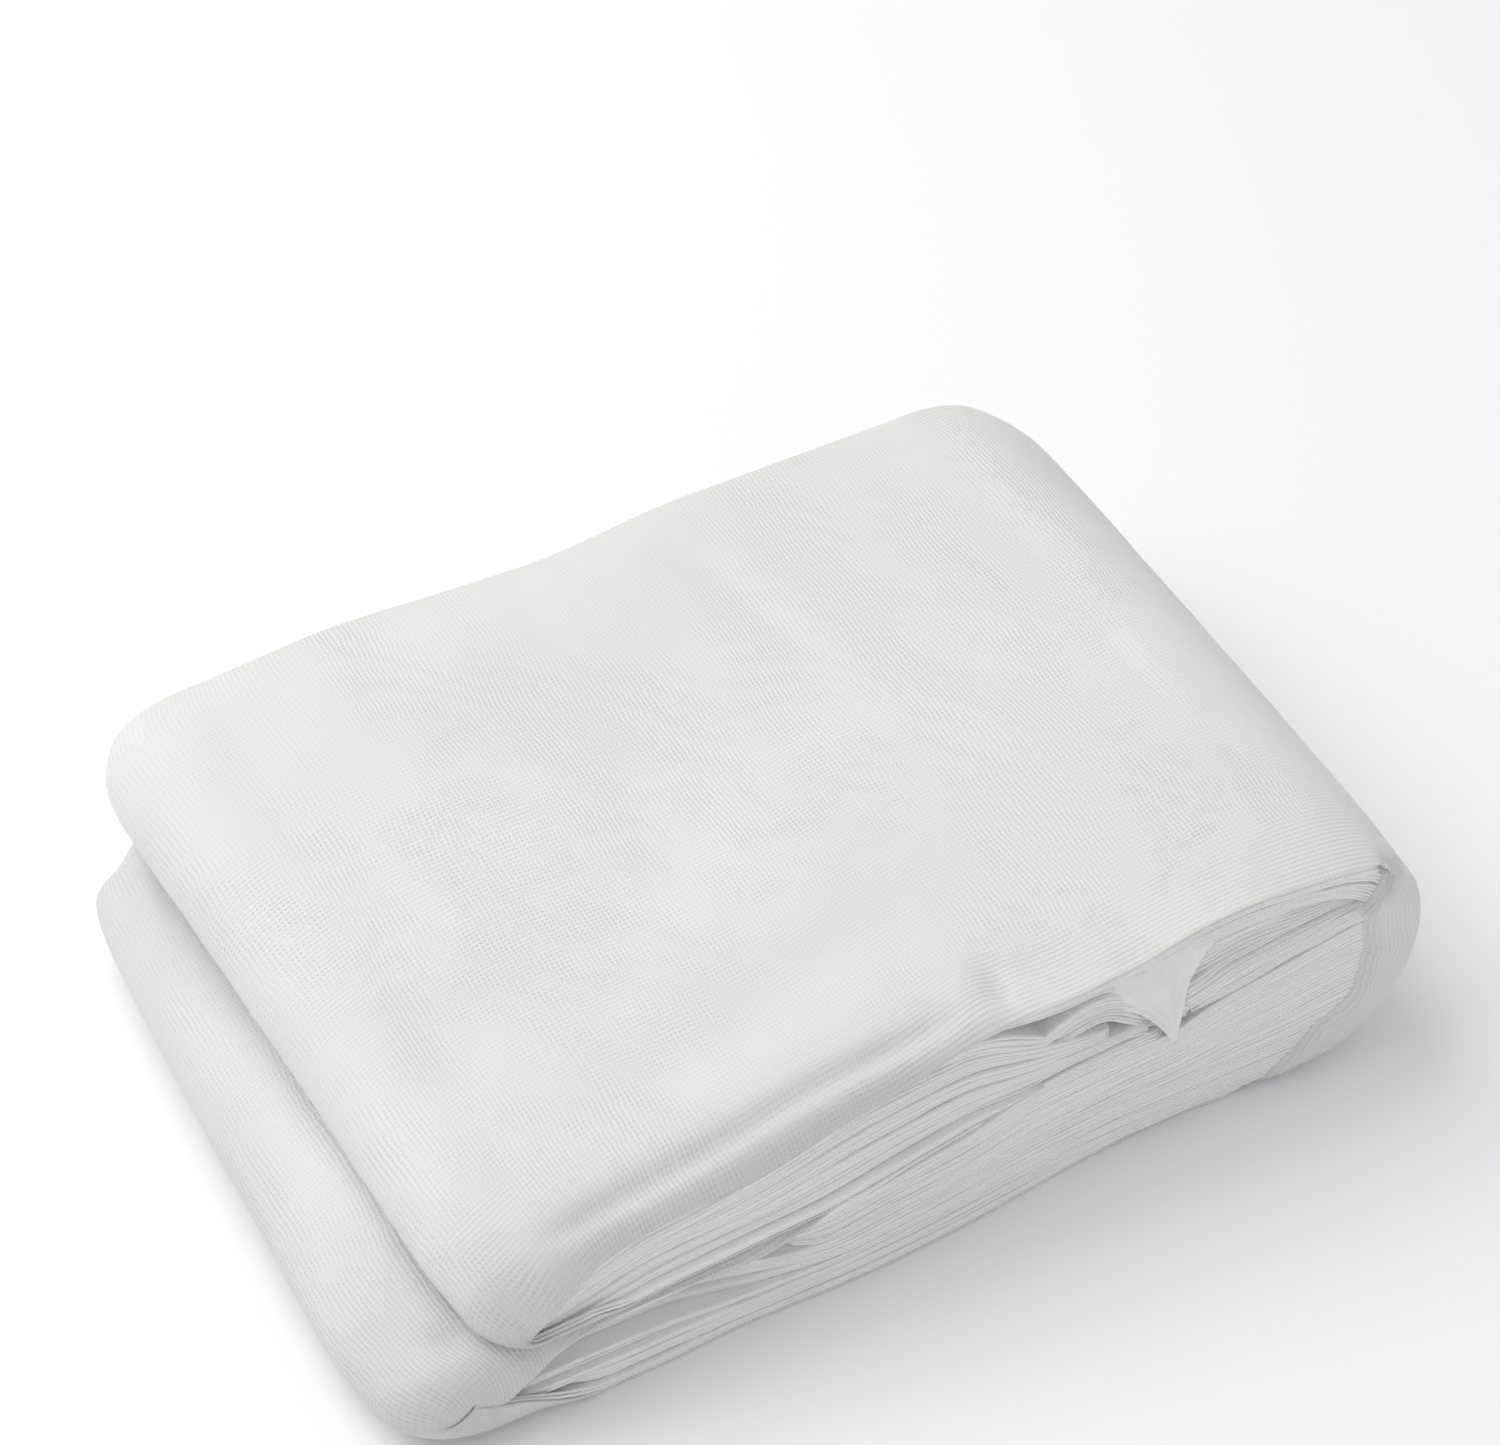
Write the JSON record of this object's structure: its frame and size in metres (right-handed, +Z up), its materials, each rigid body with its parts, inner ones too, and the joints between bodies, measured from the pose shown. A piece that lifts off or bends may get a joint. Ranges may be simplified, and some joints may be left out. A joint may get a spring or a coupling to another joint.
{
  "type": "folded bundle of insect netting",
  "caption": "Fine white insect netting folded into a flat strip, wound and folded over into a soft slab-shaped bundle, with a round bend, soft lobes and a slack mouth.",
  "frame": {"origin": "centre of the bounding box on the ground, under the bundle", "axes": "+X from the two soft lobes to the one big round bend, -Y towards the side where the slack mouth and the lip show, +Z up from the ground"},
  "size_m": [0.322, 0.2252, 0.0856],
  "materials": {
    "net": "matt white woven monofilament, slightly see-through"
  },
  "bodies": {
    "root": {"netting": "net"}
  },
  "joints": []
}
